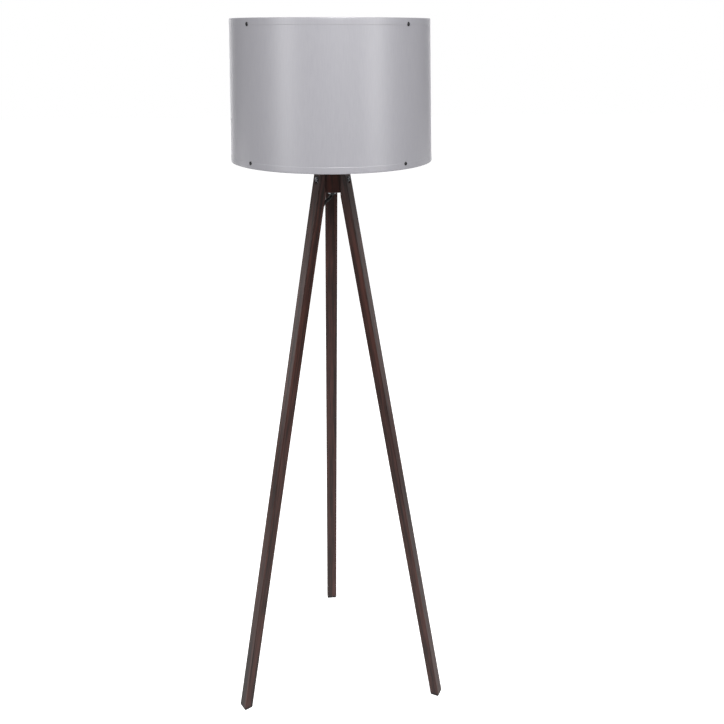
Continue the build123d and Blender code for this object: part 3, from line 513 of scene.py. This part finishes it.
@dataclass
class Studio:
    """A plain pale floor that runs on into a plain pale wall of light, and soft boxes round the lamp."""

    floor_half: float = 14.0
    floor_glow: float = 0.75
    sky: float = 0.34  # the surround's brightness from above; what the camera sees of it is 1
    ground: float = 0.04  # the same from below
    horizon: float = 0.35  # how far from the level the one goes over into the other
    aim: Point = (0.0, 0.0, 1.0)
    front: float = 266.4  # bearing of the camera's side, in degrees from +X
    boxes: tuple[SoftBox, ...] = (
        SoftBox("strip_left", -49.0, 2.6, 1.85, 0.75, 1.9, 3.4),
        SoftBox("strip_right", 49.0, 2.6, 1.85, 0.75, 1.9, 3.5),
        SoftBox("key", 8.0, 2.8, 3.4, 1.7, 1.7, 9.7),
        SoftBox("side_left", -118.0, 2.4, 0.5, 0.8, 0.9, 2.5),
        SoftBox("side_right", 130.0, 2.4, 0.5, 0.9, 1.0, 1.2),
        SoftBox("rim_left", -151.0, 2.4, 1.5, 0.6, 1.6, 2.5),
        SoftBox("rim_right", 158.0, 2.4, 1.5, 0.9, 1.6, 1.6),
    )
    bounce: SoftBox = SoftBox("floor_bounce", 0.0, 0.001, -0.01, 2.8, 2.8, 0.72)  # under the lamp, face up

    def build_world(self) -> None:
        """Build a pale surround that fills shadows softly, brighter from above than from below."""
        world = bpy.data.worlds.new("surround")
        bpy.context.scene.world = world
        world.use_nodes = True
        tree = world.node_tree
        tree.nodes.clear()
        seen = add_node(tree, "ShaderNodeLightPath").outputs["Is Camera Ray"]
        direction = add_node(tree, "ShaderNodeTexCoord").outputs["Generated"]
        height = add_node(tree, "ShaderNodeSeparateXYZ", {"Vector": direction}).outputs[2]
        fill = add_node(tree, "ShaderNodeMapRange", {
            "Value": height, "From Min": -self.horizon, "From Max": self.horizon,
            "To Min": self.ground, "To Max": self.sky}).outputs[0]
        strength = add_node(tree, "ShaderNodeMapRange", {
            "Value": seen, "To Min": fill, "To Max": 1.0}).outputs[0]
        light = add_node(tree, "ShaderNodeBackground", {"Color": linear("#ffffff"), "Strength": strength})
        add_node(tree, "ShaderNodeOutputWorld", {"Surface": light.outputs[0]})

    def build_floor(self) -> bpy.types.Object:
        """Build the floor.

        Returns:
            The floor, which isn't part of the lamp.
        """
        half = self.floor_half
        sides = ((-half, -half), (half, -half), (half, half), (-half, half))
        corners = [Vector((x, y, 0.0)) for x, y in sides]
        floor = new_mesh("floor", corners, [[0, 1, 2, 3]], smooth=False)
        material, tree = new_tree("matt_white_vinyl")
        place = add_node(tree, "ShaderNodeTexCoord").outputs["Object"]
        mottle = add_node(tree, "ShaderNodeTexNoise", {
            "Vector": place, "Scale": 1.5, "Detail": 3.0}).outputs[0]
        colour = add_node(tree, "ShaderNodeMix", {
            0: mottle, 6: linear("#fbfbfb"), 7: linear("#ffffff")}, data_type="RGBA").outputs[2]
        shader = add_node(tree, "ShaderNodeBsdfPrincipled", {
            "Base Color": colour, "Roughness": 0.7, "Specular IOR Level": 0.1,
            "Emission Color": linear("#ffffff"), "Emission Strength": self.floor_glow})
        close_tree(tree, shader)
        floor.data.materials.append(material)
        floor.visible_diffuse = False
        floor.visible_glossy = False
        floor.visible_shadow = False
        return floor

    def build_box(self, box: SoftBox) -> bpy.types.Object:
        """Build one soft box that faces the lamp.

        Args:
            box: Where it stands, how large its face is and how bright.

        Returns:
            The light.
        """
        data = bpy.data.lights.new(box.name, "AREA")
        data.shape = "RECTANGLE"
        data.size = box.width
        data.size_y = box.tall
        data.energy = box.radiance * pi * box.width * box.tall
        light = bpy.data.objects.new(box.name, data)
        turn = radians(self.front + box.aside)
        light.location = (box.distance * cos(turn), box.distance * sin(turn), box.height)
        light.rotation_euler = (Vector(self.aim) - light.location).to_track_quat("-Z", "Y").to_euler()
        light.visible_camera = False
        bpy.context.scene.collection.objects.link(light)
        return light

    def build(self) -> None:
        """Build the surround, the floor and the lights."""
        self.build_world()
        self.build_floor()
        for box in self.boxes:
            self.build_box(box)
        self.build_box(self.bounce).rotation_euler = (pi, 0.0, 0.0)
        bpy.context.scene.view_settings.view_transform = "Standard"
        bpy.context.scene.view_settings.look = "None"
        log.info("studio lights placed")


# ---------------------------------------------------------------- cord


@dataclass
class PowerCord:
    """The lamp's lead: out of the stem, down the left leg, its spare length tied in a hank, then its plug."""

    radius: float = 3.0 * MM
    free_length: float = 1.76
    exit: Point = (0.0, 0.0, 1.1478)
    # from inside the stem's end, over the bushing and down through the clips to the hank
    route: tuple[Point, ...] = (
        (0.0, 0.0, 1.152),
        (0.0, 0.0, 1.1435),
        (-0.0204, -0.0066, 1.1315),
        (-0.0299, -0.011, 1.0855),
        (-0.0418, -0.017, 1.0175),
        (-0.0559, -0.0245, 0.9355),
        (-0.0701, -0.0327, 0.8515),
        (-0.084, -0.0412, 0.7675),
        (-0.0972, -0.0494, 0.6875),
        (-0.1106, -0.0574, 0.6075),
        (-0.1229, -0.0641, 0.5355),
        (-0.1335, -0.0696, 0.4735),
        (-0.1413, -0.0705, 0.4264),
        (-0.1476, -0.0697, 0.3938),
        (-0.1524, -0.0725, 0.3653),
    )
    # from the hank's last pass to the plug, as steps across, up and through from where the tail begins
    tail: tuple[Point, ...] = (
        (0.0, -0.013, 0.0),
        (0.003, -0.029, 0.0024),
        (0.0094, -0.045, 0.0048),
        (0.014, -0.06, 0.006),
        (0.0146, -0.074, 0.0062),
    )
    facing: Point = (0.063, 0.992, -0.107)  # the way that the folds spread
    fold_radius: float = 18.0 * MM
    run: float = 120.0 * MM  # length of a straight pass
    stub: float = 24.0 * MM  # from the route's end to the middle of the top folds
    layer: float = 3.0 * MM  # how far each pass lies beside the last
    folds: int = 4
    fold_points: int = 5

    def hank_axes(self) -> tuple[Vector, Vector, Vector, Vector]:
        """Work out where the hank hangs.

        Returns:
            Its origin, and the directions across it, up it and through it.
        """
        origin = Vector(self.route[-1])
        down = (origin - Vector(self.route[-2])).normalized()
        through = down.cross(Vector(self.facing)).normalized()
        return origin, through.cross(down), -down, through

    def hank_point(self, across: float, up: float, through: float) -> Vector:
        """Turn a place in the hank's own directions into a point in the lamp's frame."""
        origin, side, upward, inward = self.hank_axes()
        return origin + side * across + upward * up + inward * through

    def hank_points(self) -> list[Vector]:
        """Work out the wound length: straight passes joined by half-round folds, each pass beside the last.

        Returns:
            The spline's points through the hank, down to where the tail begins.
        """
        half_step = pi / (2 * self.fold_points)
        reach = self.fold_radius / cos(half_step)
        beside = reach * sin(half_step)
        points = []
        for fold in range(self.folds):
            at_bottom = fold % 2 == 0
            centre = -self.stub - self.run if at_bottom else -self.stub
            sign = 1 if at_bottom else -1
            depth = -self.layer * fold
            start = 0.0 if at_bottom else 2 * self.fold_radius
            points.append(self.hank_point(start, centre + sign * (self.run - beside), depth))
            points.append(self.hank_point(start, centre + sign * beside, depth))
            for step in range(self.fold_points):
                turn = (2 * step + 1) * half_step
                across = self.fold_radius - sign * reach * cos(turn)
                points.append(self.hank_point(
                    across, centre - sign * reach * sin(turn), depth - self.layer * turn / pi))
        # the last pass runs down from the top fold and on past the bottom one
        depth = -self.layer * self.folds
        points.append(self.hank_point(0.0, -self.stub - beside, depth))
        points.append(self.hank_point(0.0, -self.stub - self.run + beside, depth))
        return points

    def all_points(self) -> list[Vector]:
        """Put the route, the hank and the tail together.

        Returns:
            The control points of the whole lead.
        """
        across, up, through = self.tail_start()
        points = [Vector(p) for p in self.route] + self.hank_points()
        points.append(self.hank_point(across, up, through))
        points += [self.hank_point(across + x, up + y, through + z) for x, y, z in self.tail]
        return points

    def tail_start(self) -> Point:
        """Give the place in the hank's directions where the tail begins."""
        return (0.0, -2 * self.stub - self.run, -self.layer * self.folds)

    def build_lead(self) -> bpy.types.Object:
        """Build the lead as one curve.

        Returns:
            The lead.
        """
        data = bpy.data.curves.new("lead", "CURVE")
        data.dimensions = "3D"
        data.bevel_depth = self.radius
        data.bevel_resolution = 5
        data.resolution_u = 8
        data.use_fill_caps = True
        spline = data.splines.new("NURBS")
        points = self.all_points()
        spline.points.add(len(points) - 1)
        for point, place in zip(spline.points, points):
            point.co = (*place, 1.0)
        spline.order_u = 3
        spline.use_endpoint_u = True
        lead = bpy.data.objects.new("lead", data)
        bpy.context.scene.collection.objects.link(lead)
        lead.data.materials.append(Moulded("pvc_sheath", "#0f0f11", 0.27, 1.2, 0.05).build())
        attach(lead, "root")
        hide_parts("power_cord", "cord_hank", "cord_tail")
        return lead

    def build_tie(self) -> bpy.types.Object:
        """Build the hook and loop tie round the hank's middle, its end lapped over itself.

        Returns:
            The tie.
        """
        half_wide, half_deep, rounding = 20.4 * MM, 8.4 * MM, 6.0 * MM
        tall, thick = 14.0 * MM, 0.9 * MM
        corner_steps, lap_steps, ramp_steps, rows = 8, 14, 3, 5
        middle = (self.fold_radius, -self.stub - self.run / 2, -2 * self.layer)
        outline = []
        for corner, (cx, cz) in enumerate(((1, 1), (-1, 1), (-1, -1), (1, -1))):
            for step in range(corner_steps + 1):
                turn = (corner + step / corner_steps) * pi / 2
                outline.append((cx * (half_wide - rounding) + rounding * cos(turn),
                                cz * (half_deep - rounding) + rounding * sin(turn)))
        count = len(outline)
        vertices, faces = [], []
        for index in range(count + lap_steps):
            x, z = outline[index % count]
            lift = 0.0 if index < count else thick * min(1.0, (index - count + 1) / ramp_steps)
            size = (x * x + z * z) ** 0.5
            for side in (0.0, thick):
                out = 1 + (lift + side) / size
                for row in range(rows):
                    up = (row / (rows - 1) - 0.5) * tall
                    vertices.append(self.hank_point(
                        middle[0] + x * out, middle[1] + up, middle[2] + z * out))
        ring = 2 * rows
        for index in range(count + lap_steps - 1):
            a, b = index * ring, (index + 1) * ring
            for row in range(rows - 1):
                faces.append([a + row, b + row, b + row + 1, a + row + 1])
                faces.append([a + rows + row, a + rows + row + 1, b + rows + row + 1, b + rows + row])
            faces.append([a, a + rows, b + rows, b])
            faces.append([a + rows - 1, b + rows - 1, b + 2 * rows - 1, a + 2 * rows - 1])
        last = (count + lap_steps - 1) * ring
        for row in range(rows - 1):
            faces.append([row, row + 1, rows + row + 1, rows + row])
            faces.append([last + row, last + rows + row, last + rows + row + 1, last + row + 1])
        tie = new_mesh("tie_strap", vertices, faces)
        round_edges(tie)
        tie.data.materials.append(LoopTape("nylon_loop_tape").build())
        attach(tie, "root")
        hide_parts("cord_tie")
        return tie

    def build(self) -> bpy.types.Object:
        """Returns:
            The lead.
        """
        lead = self.build_lead()
        tie = self.build_tie()
        dress(Moulded("soft_pvc_plug", "#18181a", 0.42, 0.8, 0.1), "strain_relief", "plug_body")
        dress(Metal("nickel_plated_pins", "#c9c6bf", 0.2), "plug_pins")
        log.info("lead of %.2f m with its tie and plug", self.free_length)
        return lead


# ---------------------------------------------------------------- shade


@dataclass
class Shade:
    """A drum of satin on a pale stiff lining, its edges turned over two thin steel hoops."""

    bottom_radius: float = 0.1925
    top_radius: float = 0.1825
    bottom: float = 1.217
    top: float = 1.467
    thick: float = 0.9 * MM
    set_back: float = 0.1  # from the drum's face to the cover, as a share of its thickness
    hem: float = 11.5 * MM
    step: float = 0.22 * MM  # how far the hem stands out from the rest
    step_width: float = 0.5 * MM
    edge_round: float = 0.35 * MM
    edge_round_height: float = 1.2 * MM
    lap_angle: float = radians(4.2)
    lap_ramp: float = radians(2.0)
    lap_rise: float = 0.6  # how far the lap stands out, as a share of the thickness
    seam_bearing: float = radians(90.0)
    columns: int = 360
    rows: int = 10  # between the two hems

    def face_radius(self, height: float) -> float:
        """Give the radius of the drum's outer face at a height."""
        share = (height - self.bottom) / (self.top - self.bottom)
        return self.bottom_radius + (self.top_radius - self.bottom_radius) * share

    def outer_radius(self, height: float, along: float) -> float:
        """Give the cover's outer radius at a height and a place along the cut edge.

        Args:
            height: The height in metres.
            along: 0 at the edge that lies under the seam, 1 at the edge that lies on it.

        Returns:
            The outer radius in metres.
        """
        edge = min(height - self.bottom, self.top - height)
        fold = self.step * max(0.0, min(1.0, (edge - self.hem + self.step_width) / self.step_width))
        total = 2 * pi + self.lap_angle
        into_lap = max(0.0, along * total - (2 * pi - self.lap_ramp))
        ramp = min(1.0, into_lap / self.lap_ramp)
        over = self.thick * ramp * ramp * (3 - 2 * ramp)
        return self.face_radius(height) - self.thick * self.set_back - fold + over * self.lap_rise

    def cover_heights(self) -> list[float]:
        """Give the heights of the cover's rows, closer together at each hem's fold."""
        fold = [self.hem + offset * MM for offset in (-0.7, -0.5, -0.25, 0.0, 0.4)]
        near = [0.0, 0.5 * MM, self.edge_round_height, 5.0 * MM] + fold
        lower = [self.bottom + h for h in near]
        upper = [self.top - h for h in reversed(near)]
        span = upper[0] - lower[-1]
        middle = [lower[-1] + span * (i + 1) / (self.rows + 1) for i in range(self.rows)]
        return lower + middle + upper

    def build_cover(self) -> bpy.types.Object:
        """Build the cover as one sheet that laps over itself at the back.

        Returns:
            The cover.
        """
        heights = self.cover_heights()
        count = len(heights)
        total = 2 * pi + self.lap_angle
        vertices, faces = [], []
        for column in range(self.columns + 1):
            along = column / self.columns
            turn = self.seam_bearing + along * total
            for skin in (0.0, self.thick):
                for height in heights:
                    edge = min(height - self.bottom, self.top - height)
                    rounding = self.edge_round * max(0.0, 1 - edge / self.edge_round_height) ** 2
                    outer = self.outer_radius(height, along) - (rounding if skin == 0.0 else -rounding)
                    reach = outer - skin
                    vertices.append(Vector((reach * cos(turn), reach * sin(turn), height)))
        ring = 2 * count
        for column in range(self.columns):
            a, b = column * ring, (column + 1) * ring
            for row in range(count - 1):
                faces.append([a + row, b + row, b + row + 1, a + row + 1])
                faces.append([a + count + row, a + count + row + 1, b + count + row + 1, b + count + row])
            faces.append([a, a + count, b + count, b])
            faces.append([a + count - 1, b + count - 1, b + ring - 1, a + ring - 1])
        last = self.columns * ring
        for row in range(count - 1):
            faces.append([row, row + 1, count + row + 1, count + row])
            faces.append([last + row, last + count + row, last + count + row + 1, last + row + 1])
        cover = new_mesh("satin_cover", vertices, faces)
        round_edges(cover, 50)
        cover.data.materials.append(SatinWeave("silver_satin").build())
        cover.data.materials.append(Moulded("styrene_lining", "#dededf", 0.3, 2.5, 0.04, 0.03).build())
        # the outer skin lies less deep than this under the drum's face, and the inner skin deeper
        between_skins = self.thick * 0.6 + 0.3 * MM
        for polygon in cover.data.polygons:
            centre = polygon.center
            inside = centre.xy.length < self.face_radius(centre.z) - between_skins
            hem = min(centre.z - self.bottom, self.top - centre.z) < self.hem
            facing_in = polygon.normal.x * centre.x + polygon.normal.y * centre.y < 0
            polygon.material_index = 1 if inside and facing_in and not hem else 0
        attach(cover, "shade")
        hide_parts("shade_cover")
        return cover

    def build(self) -> None:
        """Build the cover and dress the frame that carries it."""
        self.build_cover()
        dress(Moulded("white_powder_coat", "#e6e6e4", 0.4, 1.6, 0.1, 0.04),
              "lower_hoop", "upper_hoop", "lower_spider")
        dress(Moulded("black_nylon_rivets", "#141416", 0.3, 0.8, 0.05), "shade_rivets")
        log.info("shade built")


# ---------------------------------------------------------------- lampholder and bulb


@dataclass
class Lampholder:
    """The screw lampholder on the stem, with its rotary switch and the ring that holds the shade."""

    black: str = "#161617"

    def build(self) -> None:
        """Dress each piece in what it is moulded, turned or pressed from."""
        dress(Moulded("black_thermoplastic", self.black, 0.42),
              "holder_cap", "holder_shell", "shade_ring_nut")
        dress(Moulded("knob_thermoplastic", "#1a1a1b", 0.34, 0.5), "switch_knob")
        dress(Moulded("glazed_porcelain", "#e8e6df", 0.16, 3.0, 0.03, 0.05), "holder_core")
        dress(Metal("pressed_brass", "#d8b56a", 0.26), "screw_sleeve", "centre_contact", "terminals")
        dress(Metal("turned_brass", "#c9a65d", 0.3), "switch_spindle")
        dress(Moulded("inner_pvc", "#1d1d20", 0.4), "inner_lead")
        dress(Metal("bare_copper", "#c4784f", 0.3), "lead_conductors")
        log.info("lampholder dressed")


@dataclass
class Bulb:
    """A round opal bulb with a screw cap."""

    colour: str = "#f4f3ee"

    def build(self) -> None:
        """Dress the glass, the cap, its insulator and its solder tip."""
        dress(OpalGlass("opal_glass", self.colour), "bulb_glass")
        dress(Metal("rolled_nickel_brass", "#cfcdc8", 0.22), "bulb_cap")
        dress(Moulded("black_cap_glass", "#0d0d10", 0.1, 4.0, 0.02), "bulb_insulator")
        dress(Metal("solder", "#b7b8bb", 0.35, 1.2, (1.0, 1.0, 1.0)), "bulb_tip")
        log.info("bulb dressed")


# ---------------------------------------------------------------- stem and tripod


@dataclass
class Stem:
    """The threaded tube through the hub, with its nuts, washers and edge bushing."""

    zinc: str = "#b9bcc0"

    def build(self) -> None:
        """Dress the steel and the bushing."""
        dress(Metal("bright_zinc_tube", self.zinc, 0.26), "stem_tube")
        dress(Metal("dull_zinc_plate", "#6e7074", 0.22),
              "lower_washer", "upper_washer", "lower_nut", "upper_nut")
        dress(Moulded("nylon_bushing", "#202022", 0.45), "end_bushing")
        log.info("stem dressed")


@dataclass
class Tripod:
    """Three straight legs bolted to the flats of a six-sided hub, on rubber pads."""

    lean: float = 0.19452  # how far a leg runs outwards for each metre that it drops
    first_board: float = 0.31  # places in the grain's pattern, so that no two legs look alike
    board_step: float = 0.57

    def build(self) -> None:
        """Dress the legs, hub, pads and fixings, with each leg's grain along it."""
        tilt = atan2(self.lean, 1.0)
        legs = {"leg_left": LegBearing.LEFT, "leg_right": LegBearing.RIGHT, "leg_rear": LegBearing.REAR}
        for number, (node, bearing) in enumerate(legs.items()):
            board = self.first_board + self.board_step * number
            turn = radians(bearing.value)
            dress(StainedBeech(f"walnut_stained_{node}", tilt=-tilt, turn=turn, board=board), node)
        # the hub's wood gets darker colours than the legs': painted shade under the lampshade
        dress(StainedBeech("walnut_hub_painted_shade", light="#4a231a", dark="#1b0b07", board=2.3, grain_mm=1.6),
              "hub")
        dress(Moulded("black_rubber", "#111112", 0.75, 0.9, 0.3), "foot_pads")
        dress(Metal("black_nickel", "#67676b", 0.09), "leg_bolts")
        dress(Metal("zinc_inserts", "#c0b48a", 0.3), "threaded_inserts")
        dress(StainedBeech("plain_beech", light="#d2ab7c", dark="#b98d5f", board=4.1), "locating_dowels")
        dress(Moulded("black_nylon_clips", "#141415", 0.4), "cord_clips", "tie_mount")
        log.info("tripod dressed")


def main() -> None:
    """Build the camera and the cord first, then the lamp from its feet up, and the studio."""
    Camera().build()
    PowerCord().build()
    Tripod().build()
    Stem().build()
    Lampholder().build()
    Bulb().build()
    Shade().build()
    Studio().build()
    log.info("sizes written")


if __name__ == "__main__":
    logging.basicConfig(level=logging.INFO, format="%(message)s")
    main()
